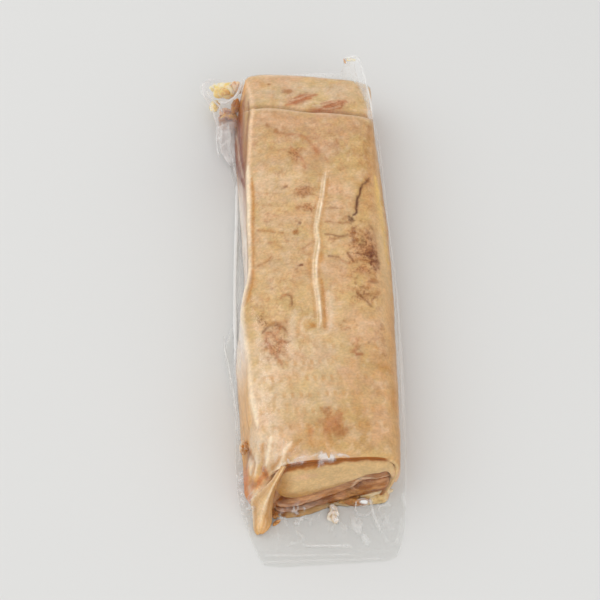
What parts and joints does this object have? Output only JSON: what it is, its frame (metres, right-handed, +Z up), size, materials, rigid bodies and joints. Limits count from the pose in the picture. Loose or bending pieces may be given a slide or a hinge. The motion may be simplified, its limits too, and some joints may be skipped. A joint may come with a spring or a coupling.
{
  "type": "vacuum-packed chashu pork slab",
  "caption": "Long slab of braised chashu pork with layered fat and lean at its end, sealed in a clear clinging vacuum bag with loose corners and a flat sealed end.",
  "frame": {"origin": "centre of the pack's footprint, on the surface that it lies on", "axes": "+X across the slab, +Y along it to the far end with the corner ears, +Z up through its thickness"},
  "size_m": [0.1086, 0.3016, 0.041],
  "materials": {
    "pork_fat": "braised pork fat seen through clinging film, wet satin gloss, tan with brown marks",
    "pork_lean": "braised lean meat, brown and fibrous, wet satin",
    "cooking_juice": "set yellow cooking juice, glossy and slightly see-through",
    "bag_film": "clear glossy vacuum film with fine wrinkles"
  },
  "bodies": {
    "root": {"vacuum_pack": "pork_fat"}
  },
  "joints": []
}
